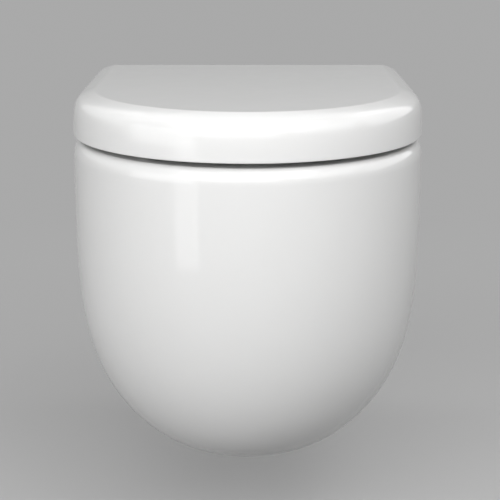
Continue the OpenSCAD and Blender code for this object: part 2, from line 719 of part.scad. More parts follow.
module leaf_screw(z, length) {
    translate([0, 0, z]) difference() {
        union() {
            cylinder(d = 2 * (screw_d - loose), h = leaf_t / 2 - fit);
            cylinder(d = screw_d, h = length);
        }
        translate([0, 0, -over]) cylinder(d = screw_d / 2, h = 2 * over, $fn = 6);
    }
}
module seat_screws() {
    color("#b9bcc0") pair() leaf_screws(seat_knuckle_x) leaf_screw(seat_z, leaf_t + seat_bite);
}
module lid_screws() {
    color("#b9bcc0") pair() leaf_screws(lid_knuckle_x) leaf_screw(roof_z - leaf_t, leaf_t + lid_bite);
}

// Dampers, bushes, shafts and pins on the hinge axis
seat_socket_x = seat_knuckle_x + socket_wall;
shaft_depth = 12;
module damper_body(x0, mouth_x) {
    difference() {
        x_rod(x0, x0 + damper_l, damper_d, axis_y, axis_z);
        x_rod(mouth_x - shaft_depth, mouth_x + shaft_depth, bore_d, axis_y, axis_z);
    }
}
module seat_damper() {
    color("#4a4d52") damper_body(seat_socket_x, seat_socket_x + damper_l);
}
module seat_damper_shaft() {
    color("#9a9da1") x_rod(seat_socket_x + damper_l - shaft_depth + rest, post_x - rest,
        pin_d, axis_y, axis_z);
}
module lid_damper() {
    color("#4a4d52") mirror([1, 0, 0]) damper_body(lid_knuckle_x, lid_knuckle_x);
}
module lid_damper_shaft() {
    color("#9a9da1") mirror([1, 0, 0]) x_rod(post_x + rest, lid_knuckle_x + shaft_depth - rest,
        pin_d, axis_y, axis_z);
}
module bush(x0) {
    difference() {
        x_rod(x0, x0 + damper_l, damper_d, axis_y, axis_z);
        x_rod(x0 - over, x0 + damper_l + over, bore_d, axis_y, axis_z);
    }
}
module seat_bush() {
    color("#e6e3da") mirror([1, 0, 0]) bush(seat_socket_x);
}
module lid_bush() {
    color("#e6e3da") bush(lid_knuckle_x);
}
module seat_pin() {
    color("#b9bcc0") mirror([1, 0, 0]) x_rod(seat_socket_x + rest, post_x - rest,
        pin_d, axis_y, axis_z);
}
module lid_pin() {
    color("#b9bcc0") x_rod(post_x + rest, lid_knuckle_x + damper_l - rest,
        pin_d, axis_y, axis_z);
}

pan();
inlet_seal();
wall_barrels();
clamp_inserts();
clamp_screws();
access_caps();
seat();
lid();
seat_pads();
lid_pads();
left_hinge_post();
right_hinge_post();
hinge_base_plates();
hinge_gaskets();
hinge_bolts();
hinge_sleeves();
hinge_nuts();
hinge_grub_screws();
left_seat_knuckle();
right_seat_knuckle();
left_lid_knuckle();
right_lid_knuckle();
seat_screws();
lid_screws();
seat_damper();
seat_damper_shaft();
lid_damper();
lid_damper_shaft();
seat_pin();
lid_pin();
seat_bush();
lid_bush();
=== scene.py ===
from math import cos, pi, radians, sin, tau

import bmesh
import bpy
import numpy as np
from mathutils import Matrix, Vector


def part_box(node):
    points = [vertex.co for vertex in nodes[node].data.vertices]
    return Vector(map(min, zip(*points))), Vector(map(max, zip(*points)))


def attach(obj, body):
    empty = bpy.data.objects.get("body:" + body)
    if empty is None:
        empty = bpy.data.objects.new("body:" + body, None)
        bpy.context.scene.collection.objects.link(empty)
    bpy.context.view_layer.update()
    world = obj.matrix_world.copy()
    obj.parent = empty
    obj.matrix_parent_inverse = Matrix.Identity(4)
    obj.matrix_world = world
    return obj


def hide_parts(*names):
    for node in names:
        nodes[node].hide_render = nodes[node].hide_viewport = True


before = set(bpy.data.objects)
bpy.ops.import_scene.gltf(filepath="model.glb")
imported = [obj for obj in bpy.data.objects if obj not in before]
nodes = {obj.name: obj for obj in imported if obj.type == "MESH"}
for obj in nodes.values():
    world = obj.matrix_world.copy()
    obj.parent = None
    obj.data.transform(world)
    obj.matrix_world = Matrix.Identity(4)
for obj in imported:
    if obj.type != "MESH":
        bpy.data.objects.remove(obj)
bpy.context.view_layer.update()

scene = bpy.context.scene


# Camera
# A long lens in front of the toilet, a little above the lid, that looks slightly down on it.
# The toilet hangs a few millimetres left of the middle of the picture.
scene.view_settings.view_transform = "Standard"
picture_px = 500
focal_px = 1540
look_down = radians(12.89)
eye = (0.0023, -1.879, 0.314)
film_mm = 36
camera = bpy.data.objects.new("camera", bpy.data.cameras.new("camera"))
camera.data.sensor_width = film_mm
camera.data.lens = film_mm * focal_px / picture_px
camera.location = eye
camera.rotation_euler = (pi / 2 - look_down, 0, 0)
scene.collection.objects.link(camera)
scene.camera = camera


# Pan
# One vitreous china casting: a skirt with an upright D plan that turns under to a flat keel,
# a rim deck, the bowl, the trap and the wall sockets, dipped in a white glaze that stays off
# the rear edge, which lies on the wall.
class Graph:
    """The nodes of a material or of a shape, added one at a time."""

    def __init__(self, tree):
        self.tree = tree

    def node(self, kind, settings, *values, **named):
        made = self.tree.nodes.new(kind)
        for key, value in settings.items():
            setattr(made, key, value)
        for key, value in [*enumerate(values), *named.items()]:
            self.join(value, made.inputs[key.replace("_", " ") if isinstance(key, str) else key])
        return Outputs(self, made)

    def join(self, value, socket):
        for part in value if isinstance(value, list) else [value]:
            if isinstance(part, Value):
                self.tree.links.new(part.socket, socket)
            else:
                socket.default_value = part


class Outputs:
    """The outputs of one node, by number or by name."""

    def __init__(self, graph, made):
        self.graph = graph
        self.made = made

    def __getitem__(self, key):
        return Value(self.graph, self.made.outputs[key])


class Value:
    """What flows out of a node, used in plain arithmetic where it is a number."""

    def __init__(self, graph, socket):
        self.graph = graph
        self.socket = socket

    def math(self, operation, *others):
        return self.graph.node("ShaderNodeMath", {"operation": operation}, self, *others)[0]

    def __add__(self, other):
        return self.math("ADD", other)

    def __sub__(self, other):
        return self.math("SUBTRACT", other)

    def __rsub__(self, other):
        return self.math("MULTIPLY_ADD", -1.0, other)

    def __mul__(self, other):
        return self.math("MULTIPLY", other)

    __radd__ = __add__
    __rmul__ = __mul__


class Finish(Graph):
    """A surface finish: one material with its pattern and its gloss."""

    def __init__(self, name, roughness, **constants):
        self.material = bpy.data.materials.new(name)
        self.material.use_nodes = True
        super().__init__(self.material.node_tree)
        self.shader = self.tree.nodes["Principled BSDF"]
        self.shader.inputs["Roughness"].default_value = roughness
        for socket, value in constants.items():
            self.shader.inputs[socket.replace("_", " ")].default_value = value
        self.place = self.node("ShaderNodeTexCoord", {})["Object"]

    def noise(self, per_metre, detail=2.0, stretch=(1, 1, 1)):
        """Soft blotches from 0 to 1, so many to the metre, each axis scaled by stretch."""
        place = self.node("ShaderNodeMapping", {}, Vector=self.place, Scale=stretch)["Vector"]
        return self.node("ShaderNodeTexNoise", {}, Vector=place, Scale=per_metre,
            Detail=detail)["Fac"]

    def blend(self, amount, first, second):
        """A colour between two, by amount from 0 to 1."""
        mixed = self.node("ShaderNodeMix", {"data_type": "RGBA"}, amount)
        for socket, colour in zip(mixed.made.inputs[6:8], (first, second)):
            self.join(colour if isinstance(colour, Value) else (*colour, 1), socket)
        return mixed[2]

    def step(self, value, low, high):
        """0 below low, 1 above high, and a smooth rise between them."""
        return self.node("ShaderNodeMapRange", {"interpolation_type": "SMOOTHSTEP"}, Value=value,
            From_Min=low, From_Max=high)["Result"]

    def coordinate(self, axis):
        return self.node("ShaderNodeSeparateXYZ", {}, self.place)["XYZ".index(axis)]

    def feed(self, **sockets):
        for name, value in sockets.items():
            self.join(value, self.shader.inputs[name.replace("_", " ")])

    def bump(self, height, depth):
        """The height, from 0 to 1, stands out by depth in metres."""
        self.feed(Normal=self.node("ShaderNodeBump", {}, Height=height, Distance=depth)["Normal"])


def china_glaze():
    glaze = Finish("china_glaze", 0.05, IOR=1.5)
    bare = glaze.step(glaze.coordinate("Y"), -0.0012, -0.0004)
    tone = glaze.blend(glaze.noise(9), (0.79, 0.79, 0.785), (0.815, 0.815, 0.81))
    glaze.feed(Base_Color=glaze.blend(bare, tone, (0.62, 0.6, 0.56)))
    glaze.feed(Roughness=glaze.noise(30) * 0.03 + 0.035 + bare * 0.6)
    ripple = glaze.noise(26, detail=1.0)
    pinholes = glaze.noise(420, detail=1.0)
    glaze.bump(ripple * 0.6 + pinholes * 0.012, 0.0004)
    return glaze.material


def new_piece(name, mesh):
    piece = bpy.data.objects.new(name, mesh)
    scene.collection.objects.link(piece)
    return piece


def skin(name, points, faces):
    """A closed skin, with doubles merged and every face turned outwards."""
    mesh = bpy.data.meshes.new(name)
    mesh.from_pydata([tuple(p) for p in points], [], faces)
    mesh.validate()
    shape = bmesh.new()
    shape.from_mesh(mesh)
    bmesh.ops.remove_doubles(shape, verts=shape.verts, dist=1e-7)
    bmesh.ops.recalc_face_normals(shape, faces=shape.faces)
    shape.to_mesh(mesh)
    shape.free()
    return new_piece(name, mesh)


def strip(a, b, wrap=False):
    """Quads between two rings of point numbers."""
    count = len(a) if wrap else len(a) - 1
    return [(a[i], a[(i + 1) % len(a)], b[(i + 1) % len(a)], b[i]) for i in range(count)]


def loft(name, rings, capped=True):
    """A solid through closed rings of points, capped at both ends or joined end to end."""
    rings = np.array(rings)
    rows = np.arange(rings.shape[0] * rings.shape[1]).reshape(rings.shape[:2]).tolist()
    faces = [tuple(rows[0]), tuple(rows[-1])] if capped else strip(rows[-1], rows[0], wrap=True)
    for low, high in zip(rows, rows[1:]):
        faces += strip(low, high, wrap=True)
    return skin(name, rings.reshape(-1, 3), faces)


def open_shell(name, outer, inner, floor):
    """A wall between two nests of rings that are open behind, and below unless it has a floor."""
    outer, inner = np.array(outer), np.array(inner)
    rows, count = outer.shape[:2]
    o = np.arange(rows * count).reshape(rows, count).tolist()
    i = (np.arange(rows * count) + rows * count).reshape(rows, count).tolist()
    faces = [tuple(o[-1]), tuple(i[-1]), (o[-1][0], o[-1][-1], i[-1][-1], i[-1][0])]
    for nest in (o, i):
        for low, high in zip(nest, nest[1:]):
            faces += strip(low, high)
    for end in (0, -1):
        faces += strip([r[end] for r in o], [r[end] for r in i])
    if floor:
        faces += [tuple(o[0]), tuple(i[0]), (o[0][0], o[0][-1], i[0][-1], i[0][0])]
    else:
        faces += strip(o[0], i[0])
    return skin(name, np.concatenate([outer, inner]).reshape(-1, 3), faces)


def d_plan(half, reach, nose, back, z, steps):
    """Points round a D: straight sides from the rear and half an ellipse in front."""
    t = np.linspace(pi / 2, -pi / 2, steps)
    x = np.concatenate([[half], half * np.sin(t), [-half]])
    y = np.concatenate([[-back], -(reach - nose + nose * np.cos(t)), [-back]])
    return np.stack([x, y, np.full_like(x, z)], axis=1)


def turned(name, start, direction, profile, hollow=False, sides=96):
    """A piece turned on an axis, from a profile of distances along it and radii. A hollow one
    has a profile that goes up outside and comes back inside."""
    turn = Vector((0, 0, 1)).rotation_difference(Vector(direction)).to_matrix()
    angles = np.linspace(0, tau, sides, endpoint=False)
    return loft(name, [[Vector(start) + turn @ Vector((r * cos(a), r * sin(a), d)) for a in angles]
        for d, r in profile], capped=not hollow)


def rod(name, start, along, radius, soft=0.0, sides=96):
    """A round bar from start, with its end edges rounded by soft."""
    length = Vector(along).length
    bend = np.linspace(0, pi / 2, 5) if soft else [0]
    ends = [(soft - soft * cos(t), radius - soft + soft * sin(t)) for t in bend]
    return turned(name, start, along, ends + [(length - d, r) for d, r in reversed(ends)],
        sides=sides)


def block(name, low, high, soft=0.0):
    """A box between two corners, with all its edges rounded by soft."""
    shape = bmesh.new()
    bmesh.ops.create_cube(shape, size=1)
    size = Vector(high) - Vector(low)
    middle = (Vector(high) + Vector(low)) / 2
    bmesh.ops.transform(shape, matrix=Matrix.Translation(middle) @ Matrix.Diagonal((*size, 1)),
        verts=shape.verts)
    if soft:
        bmesh.ops.bevel(shape, geom=shape.edges, offset=soft, segments=4, profile=0.5,
            affect="EDGES")
    mesh = bpy.data.meshes.new(name)
    shape.to_mesh(mesh)
    shape.free()
    return new_piece(name, mesh)


def settle(piece):
    """Turns a piece and its modifiers into one plain mesh."""
    seen = piece.evaluated_get(bpy.context.evaluated_depsgraph_get())
    plain = bpy.data.meshes.new_from_object(seen)
    piece.modifiers.clear()
    piece.data = plain
    return piece


def carve(piece, operation, tools):
    """Adds the tools to a piece, cuts them out of it or keeps what they share. They are used up."""
    for tool in tools:
        change = piece.modifiers.new(tool.name, "BOOLEAN")
        change.operation = operation
        change.solver = "MANIFOLD"
        change.object = tool
    settle(piece)
    for tool in tools:
        bpy.data.objects.remove(tool)
    return piece


def dress(piece, material, sharp=35):
    """One material all over, and smooth shading where faces meet below an angle in degrees."""
    piece.data.materials.clear()
    piece.data.materials.append(material)
    piece.data.polygons.foreach_set("use_smooth", [True] * len(piece.data.polygons))
    piece.data.set_sharp_from_angle(angle=radians(sharp))
    return piece


def install(piece, node, body):
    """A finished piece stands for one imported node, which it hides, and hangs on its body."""
    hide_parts(node)
    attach(piece, body)


pan_low, pan_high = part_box("pan")
half_w = pan_high.x
reach = -pan_low.y
rim_z = pan_high.z
pan_h = rim_z - pan_low.z
nose_l = 0.213
keel_w = 0.187
keel_reach = 0.3
side_exp = 4.7
front_exp = 3.0
front_round = 2.75
shoulder_w = 0.009
shoulder_h = 0.016
wall = 0.014
deck_t = 0.014
floor_t = 0.012
flat_rim = 0.002
plan_steps = 181
china_edge = 0.001
over = 0.001  # how far a cut runs past the face it starts from
fit = 0.00005  # how far a bore clears what sits tight in it


def pan_plan(s, inset, z):
    half = keel_w / 2 + (half_w - keel_w / 2) * (1 - s**side_exp)
    front = keel_reach + (reach - keel_reach) * max(0, 1 - s**front_exp) ** (1 / front_round)
    return d_plan(half - inset, front - inset, nose_l * front / reach - inset, 0, z, plan_steps)


def pan_skirt():
    edge_s = shoulder_h / pan_h
    inner_r = shoulder_w - 0.002
    inner_top = rim_z - deck_t
    inner_h = pan_h - deck_t - floor_t
    outer = [pan_plan(1, flat_rim, rim_z - pan_h)]
    inner = [pan_plan(1, wall + flat_rim, inner_top - inner_h)]
    for s in edge_s + (1 - edge_s) * np.sin(np.linspace(pi / 2, 0, 90)):
        outer.append(pan_plan(s, 0, rim_z - pan_h * s))
        share = (s - edge_s) / (1 - edge_s)
        inner.append(pan_plan(s, wall, inner_top - inner_r - (inner_h - inner_r) * share))
    for t in np.linspace(0, pi / 2, 20)[1:]:
        outer.append(pan_plan(edge_s, shoulder_w * (1 - cos(t)), rim_z - shoulder_h * (1 - sin(t))))
        inner.append(pan_plan(edge_s, wall + inner_r * (1 - cos(t)),
            inner_top - inner_r * (1 - sin(t))))
    return open_shell("pan_casting", outer, inner, floor=True)


bowl_w = 0.256
bowl_back = 0.118
bowl_front = 0.053
bowl_l = reach - bowl_back - bowl_front
bowl_depth = 0.301
bowl_wall = 0.01
bowl_bow = 0.041
bow_low = 1.6
bow_sharp = 1.2
bowl_side_exp = 2.2
bowl_end_exp = 1.5
bowl_round = 2 / 2.3
sump_w = 0.084
sump_l = 0.066
sump_set = 0.01
bowl_edge_r = 0.008


def bowl_mid(u):
    bow = bowl_bow * max(0, sin(pi * u**bow_low)) ** bow_sharp
    return bowl_back + bowl_l / 2 + bow + sump_set * u


def bowl_ring(u, grow, z):
    t = np.linspace(0, tau, 180, endpoint=False)
    half = sump_w / 2 + (bowl_w - sump_w) / 2 * (1 - u**bowl_side_exp) + grow
    length = sump_l / 2 + (bowl_l - sump_l) / 2 * (1 - u**bowl_end_exp) + grow
    x = half * np.sign(np.cos(t)) * np.abs(np.cos(t)) ** bowl_round
    y = length * np.sign(np.sin(t)) * np.abs(np.sin(t)) ** bowl_round - bowl_mid(u)
    return np.stack([x, y, np.full_like(x, z)], axis=1)


def bowl_outside():
    top = rim_z - deck_t / 2
    fall = bowl_depth - deck_t / 2 + bowl_wall
    return loft("bowl_outside", [bowl_ring(u, bowl_wall, top - fall * u)
        for u in np.sin(np.linspace(pi / 2, 0, 60))])


def bowl_inside():
    top = rim_z - bowl_edge_r
    fall = bowl_depth - bowl_edge_r
    rings = [bowl_ring(u, 0, top - fall * u) for u in np.sin(np.linspace(pi / 2, 0, 80))]
    for t in np.linspace(0, pi / 2, 12)[1:]:
        rings.append(bowl_ring(0, bowl_edge_r * (1 - cos(t)), top + bowl_edge_r * sin(t)))
    rings.append(bowl_ring(0, bowl_edge_r, rim_z + over))
    return loft("bowl_inside", rings)


outlet_z = -0.1
outlet_r = 0.051
outlet_l = 0.045
outlet_wall = 0.007
outlet_bore_r = outlet_r - outlet_wall
trap_r = 0.033
weir_back = 0.004
weir_rise = 0.024
weir = np.array((-bowl_back - weir_back, outlet_z + weir_rise))
climb_low = (0.048, 0.02)
climb_high = 0.08
fall_pull = 0.038


def trap(name, grow):
    start = np.array((-bowl_mid(1), rim_z - bowl_depth + trap_r))
    end = np.array((-outlet_l, outlet_z))
    climb = (start, (weir[0] - climb_low[0], start[1] - climb_low[1]),
        (weir[0] - climb_high, weir[1]), weir)
    fall = (weir, (weir[0] + fall_pull, weir[1]), (end[0] - fall_pull, end[1]), end)
    points = []
    for bends, shares in ((climb, np.arange(28) / 28), (fall, np.linspace(0, 1, 20))):
        a, b, c, d = map(np.array, bends)
        points += [(1 - t) ** 3 * a + 3 * (1 - t) ** 2 * t * b + 3 * (1 - t) * t**2 * c + t**3 * d
            for t in shares]
    slopes = np.gradient(np.array(points), axis=0)
    slopes[-1] = (1, 0)
    rings = []
    for k, (point, slope) in enumerate(zip(points, slopes)):
        t = slope / np.linalg.norm(slope)
        radius = trap_r + (outlet_bore_r - over - trap_r) * k / (len(points) - 1) + grow
        rings.append([(radius * cos(a), point[0] - radius * sin(a) * t[1],
            point[1] + radius * sin(a) * t[0]) for a in np.linspace(0, tau, 64, endpoint=False)])
    return loft(name, rings)


inlet_z = 0.035
inlet_r = 0.0275
inlet_outer_r = 0.0355
stud_x = 0.09
stud_way_l = 0.052
stud_way_r = 0.0133
socket_r = 0.023
boss_r = 0.018
boss_l = 0.038
clamp_y = -0.026
clamp_way_r = 0.0045
insert_x = stud_x + socket_r
insert_r = 0.008
plug_way_r = 0.011
cap_r = 0.014
cap_recess = 0.003
jet_x = 0.04
jet_h = 0.012
jet_corner_r = 0.006
jet_reach = 0.024
chamber_wall = 0.01
chamber_y = -0.048
jet_y = -bowl_back - jet_reach
web_y = -0.082
web_t = 0.012
web_low = -0.033
post_x = 0.0775
hinge_hole_r = 0.0075
axis_y = -0.058
left_and_right = (("left", -1), ("right", 1))

pan = pan_skirt()
carve(pan, "UNION", [
    bowl_outside(),
    trap("trap_outside", outlet_wall),
    rod("spigot", (0, -outlet_l, outlet_z), (0, outlet_l, 0), outlet_r, china_edge),
    rod("inlet", (0, chamber_y - chamber_wall, inlet_z), (0, chamber_wall - chamber_y, 0),
        inlet_outer_r, china_edge),
    block("chamber", (-jet_x - chamber_wall, jet_y, inlet_z - jet_h - chamber_wall),
        (jet_x + chamber_wall, chamber_y, rim_z - deck_t / 2)),
    block("web", (-half_w + wall / 2, web_y, web_low),
        (half_w - wall / 2, web_y + web_t, rim_z - deck_t / 2)),
])
carve(pan, "UNION", [rod("socket_" + side, (s * stud_x, web_y, 0), (0, -web_y, 0), socket_r,
    china_edge) for side, s in left_and_right])
carve(pan, "UNION", [rod("boss_" + side, (s * stud_x, clamp_y, 0), (s * boss_l, 0, 0), boss_r,
    china_edge) for side, s in left_and_right])
carve(pan, "DIFFERENCE", [
    bowl_inside(),
    trap("trap_inside", 0),
    rod("outlet_bore", (0, -outlet_l - over, outlet_z), (0, outlet_l + 2 * over, 0),
        outlet_bore_r),
    rod("inlet_bore", (0, chamber_y - over, inlet_z), (0, 2 * over - chamber_y, 0), inlet_r),
    block("jet", (-jet_x, jet_y - over, inlet_z - jet_h), (jet_x, chamber_y, inlet_z + jet_h),
        jet_corner_r),
])
carve(pan, "DIFFERENCE", [rod("stud_way_" + side, (s * stud_x, -stud_way_l, 0),
    (0, stud_way_l + over, 0), stud_way_r) for side, s in left_and_right])
# The ways for the clamp screw, its insert, the cap's plug and the cap: start, length and radius
clamp_ways = [
    (stud_x, socket_r + over, clamp_way_r),
    (insert_x, boss_l - socket_r + over, insert_r + fit),
    (half_w - wall - over, wall + 2 * over, plug_way_r),
    (half_w - cap_recess + fit, cap_recess + over, cap_r + fit),
]
for k, (start_x, length, radius) in enumerate(clamp_ways):
    carve(pan, "DIFFERENCE", [rod(f"clamp_way_{k}_{side}", (s * start_x, clamp_y, 0),
        (s * length, 0, 0), radius) for side, s in left_and_right])
carve(pan, "DIFFERENCE", [rod("hinge_hole_" + side, (s * post_x, axis_y, rim_z - deck_t - over),
    (0, 0, deck_t + 2 * over), hinge_hole_r) for side, s in left_and_right])
dress(pan, china_glaze(), sharp=40)
install(pan, "pan", "pan_body")


# Wall barrels
# Two turned brass barrels that screw onto the wall's studs. A clamp screw from the side of the
# pan bites in the cone on each.
def turned_metal(name, colour, roughness, axis):
    """Bright metal with fine rings left by the lathe, square to its axis."""
    metal = Finish(name, roughness, Metallic=1.0)
    stretch = tuple(1 if a == axis else 0.02 for a in "XYZ")
    rings = metal.noise(1400, stretch=stretch)
    metal.feed(Base_Color=metal.blend(metal.noise(60), [c * 0.86 for c in colour], colour))
    metal.feed(Roughness=rings * 0.1 + metal.noise(90) * 0.1 + roughness)
    metal.bump(rings, 0.00003)
    return metal.material


def refinish(material, *names):
    """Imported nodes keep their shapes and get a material."""
    for name in names:
        nodes[name].data.materials.clear()
        nodes[name].data.materials.append(material)


refinish(turned_metal("turned_brass", (0.8, 0.62, 0.3), 0.2, "Y"), "wall_barrels")


# Clamp inserts and clamp screws
# Two moulded nylon sleeves, pressed into the casting's bosses from the sides, and the zinc
# plated screws in them, each with a hexagon socket and a cone at its tip.
def nylon():
    moulded = Finish("natural_nylon", 0.4, IOR=1.5)
    moulded.feed(Base_Color=moulded.blend(moulded.noise(140), (0.72, 0.7, 0.63),
        (0.79, 0.775, 0.71)))
    moulded.feed(Roughness=moulded.noise(300) * 0.15 + 0.36)
    moulded.bump(moulded.noise(1500), 0.00003)
    return moulded.material


natural_nylon = nylon()
zinc = (0.66, 0.67, 0.69)
zinc_roughness = 0.26
zinc_along_x = turned_metal("zinc_plate_x", zinc, zinc_roughness, "X")
refinish(natural_nylon, "clamp_inserts")
refinish(zinc_along_x, "clamp_screws")


# Access caps
# Two snap-in plastic caps that hide the clamp screws. Each lies in a shallow round recess in
# the side of the pan, half a millimetre below the glaze, and has a soft edge and a notch.
def white_plastic(name, roughness):
    shell = Finish(name, roughness, IOR=1.5)
    shell.feed(Base_Color=shell.blend(shell.noise(14), (0.8, 0.8, 0.795), (0.82, 0.82, 0.815)))
    shell.feed(Roughness=shell.noise(60) * 0.05 + roughness)
    shell.bump(shell.noise(900, detail=1.0), 0.000004)
    return shell.material


def together(name, pieces):
    """Several pieces as one."""
    shape = bmesh.new()
    for piece in pieces:
        shape.from_mesh(piece.data)
        bpy.data.objects.remove(piece)
    mesh = bpy.data.meshes.new(name)
    shape.to_mesh(mesh)
    shape.free()
    return new_piece(name, mesh)


cap_face = half_w - 0.0005
cap_start = half_w - wall + over
cap_t = 0.0024
cap_plug_r = plug_way_r - fit
cap_l = cap_face - cap_start
cap_rim = cap_l - cap_t
notch_r = 0.0024
notch_l = 0.0035
notch_out = 0.0014
caps = []
for side, s in left_and_right:
    cap = turned("cap_" + side, (s * cap_start, clamp_y, 0), (s, 0, 0), [
        (0, cap_plug_r - 0.001), (0.001, cap_plug_r), (cap_rim, cap_plug_r),
        (cap_rim, cap_r - 0.0003), (cap_rim + 0.0003, cap_r), (cap_l - 0.0009, cap_r),
        (cap_l - 0.0005, cap_r - 0.0001), (cap_l - 0.0002, cap_r - 0.0003),
        (cap_l - 0.0001, cap_r - 0.0005), (cap_l, cap_r - 0.0009)])
    notch = rod("notch_" + side, (s * (cap_face + notch_out), clamp_y, -cap_r - over),
        (0, 0, notch_l), notch_r, soft=notch_r / 4, sides=32)
    caps.append(carve(cap, "DIFFERENCE", [notch]))
caps = dress(together("access_cap_pair", caps), white_plastic("cap_plastic", 0.24))
install(caps, "access_caps", "pan_body")


# Inlet seal
# A rubber sleeve in the flush inlet. Three lips outside hold it in the glazed bore, and two
# inside close on the flush pipe.
def rubber(name, colour, roughness):
    soft = Finish(name, roughness, IOR=1.5)
    soft.feed(Base_Color=soft.blend(soft.noise(110, detail=4.0), colour, [c * 1.5 for c in colour]))
    soft.feed(Roughness=soft.noise(240) * 0.16 + roughness)
    soft.bump(soft.noise(1100, detail=3.0), 0.00006)
    return soft.material


seal_low, seal_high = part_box("inlet_seal")
seal_r = seal_high.x
seal_l = -seal_low.y
pipe_r = 0.0226
lip = 0.0006
seal_edge = 0.0008
seal_mouth = 0.0012
lead_in = 0.002
grooves = (0.0035, 0.0115, 0.0195, 0.0255)
groove_floor = (0.0012, 0.0035)
groove_l = 0.0042
inner_grooves = (0.022, 0.012)
inner_floor = (0.0015, 0.006)
inner_groove_l = 0.0068
seal_section = [(0, pipe_r + seal_mouth), (0, seal_r - seal_edge), (seal_edge, seal_r)]
for at in grooves:
    seal_section += [(at, seal_r), *((at + d, seal_r - lip) for d in groove_floor),
        (at + groove_l, seal_r)]
seal_section += [(seal_l, seal_r - seal_mouth), (seal_l, pipe_r + seal_edge),
    (seal_l - lead_in, pipe_r)]
for at in inner_grooves:
    seal_section += [(at, pipe_r), *((at - d, pipe_r + lip) for d in inner_floor),
        (at - inner_groove_l, pipe_r)]
seal = turned("lipped_seal", (0, 0, inlet_z), (0, -1, 0), seal_section, hollow=True)
black_rubber = rubber("black_rubber", (0.02, 0.02, 0.021), 0.5)
install(dress(seal, black_rubber, sharp=50), "inlet_seal", "pan_body")


# Hinge fixings
# A base plate on each side with a rubber gasket under it. A hexagon socket bolt goes down
# through it, a rubber expansion sleeve and the hinge hole to a brass nut under the deck.
def bright_plate(name, roughness):
    """Polished chrome plate on a zinc casting."""
    plate = Finish(name, roughness, Metallic=1.0)
    plate.feed(Base_Color=plate.blend(plate.noise(50), (0.7, 0.71, 0.72), (0.76, 0.765, 0.77)))
    plate.feed(Roughness=plate.noise(180) * 0.08 + roughness)
    plate.bump(plate.noise(150), 0.00002)
    return plate.material


chrome = bright_plate("chrome_plate", 0.1)
plate_low, plate_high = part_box("hinge_base_plates")
plate_z = plate_low.z
plate_t = 0.003
foot_z = plate_z + plate_t
spigot_top = plate_high.z
plate_r = 0.016
spigot_r = 0.007
bolt_way_r = 0.0031
head_way_r = 0.006
head_way_z = spigot_top - 0.005
plates = []
for side, s in left_and_right:
    plates.append(turned("plate_" + side, (s * post_x, axis_y, 0), (0, 0, 1), [
        (plate_z, bolt_way_r), (plate_z, plate_r - 0.0003), (plate_z + 0.0003, plate_r),
        (foot_z - 0.001, plate_r), (foot_z - 0.0005, plate_r - 0.0002),
        (foot_z - 0.0001, plate_r - 0.0006), (foot_z, plate_r - 0.001), (foot_z, spigot_r),
        (spigot_top - 0.0006, spigot_r), (spigot_top, spigot_r - 0.0005),
        (spigot_top, head_way_r), (head_way_z, head_way_r), (head_way_z, bolt_way_r)],
        hollow=True))
install(dress(together("base_plate_pair", plates), chrome), "hinge_base_plates", "pan_body")

nut_low, nut_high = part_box("hinge_nuts")
brass_nut = turned_metal("brass_nut", (0.78, 0.6, 0.28), 0.24, "Z")
nut_h = nut_high.z - nut_low.z
nut_r = 0.007
nut_face_r = 0.0062
chamfer_r = 0.0073
chamfer_h = 0.0008
thread_r = 0.003
nuts = []
for side, s in left_and_right:
    at = (s * post_x, axis_y, nut_low.z)
    hexagon = turned("hexagon_" + side, at, (0, 0, 1), [(0, nut_r), (nut_h, nut_r)], sides=6)
    chamfer = turned("chamfer_" + side, at, (0, 0, 1), [(0, nut_face_r), (chamfer_h, chamfer_r),
        (nut_h - chamfer_h, chamfer_r), (nut_h, nut_face_r)])
    bore = rod("bore_" + side, (s * post_x, axis_y, nut_low.z - over), (0, 0, nut_h + 2 * over),
        thread_r + fit)
    nuts.append(carve(carve(hexagon, "INTERSECT", [chamfer]), "DIFFERENCE", [bore]))
install(dress(together("hexagon_nut_pair", nuts), brass_nut, sharp=20), "hinge_nuts",
    "pan_body")

zinc_along_z = turned_metal("zinc_plate_z", zinc, zinc_roughness, "Z")
refinish(black_rubber, "hinge_sleeves", "hinge_gaskets")
refinish(zinc_along_z, "hinge_bolts")


# Hinge posts
# Two chrome plated zinc posts that push down over the base plates' spigots. Each has a round
# foot, a cross barrel with the hinge pin's bore, and a grub screw that locks it from behind.
axis_z = 0.104
barrel_r = 0.011
pin_r = 0.004
post_half = 0.01
post_soft = 0.0015
foot_gap = 0.001
spigot_way_h = 0.0102
grub_r = 0.0025
grub_start = 0.0035
grub_z = foot_z + 0.005
grub_way_l = 0.0185
for side, s in left_and_right:
    post = rod(side + "_post_casting", (s * post_x, axis_y, foot_z),
        (0, 0, axis_z - barrel_r - foot_gap - foot_z), barrel_r, post_soft)
    carve(post, "UNION", [
        rod("column", (s * post_x, axis_y, foot_z), (0, 0, axis_z - foot_z), post_half - fit),
        rod("barrel", (s * post_x - post_half, axis_y, axis_z), (2 * post_half, 0, 0), barrel_r,
            soft=0.0008),
    ])
    carve(post, "DIFFERENCE", [
        rod("spigot_way", (s * post_x, axis_y, foot_z - over), (0, 0, spigot_way_h + over),
            spigot_r + fit),
        rod("pin_way", (s * post_x - 2 * post_half, axis_y, axis_z), (4 * post_half, 0, 0),
            pin_r + fit),
        rod("grub_way", (s * post_x, axis_y + grub_start, grub_z), (0, grub_way_l, 0),
            grub_r + fit),
    ])
    install(dress(post, chrome), side + "_hinge_post", "pan_body")
refinish(turned_metal("zinc_plate_y", zinc, zinc_roughness, "Y"), "hinge_grub_screws")


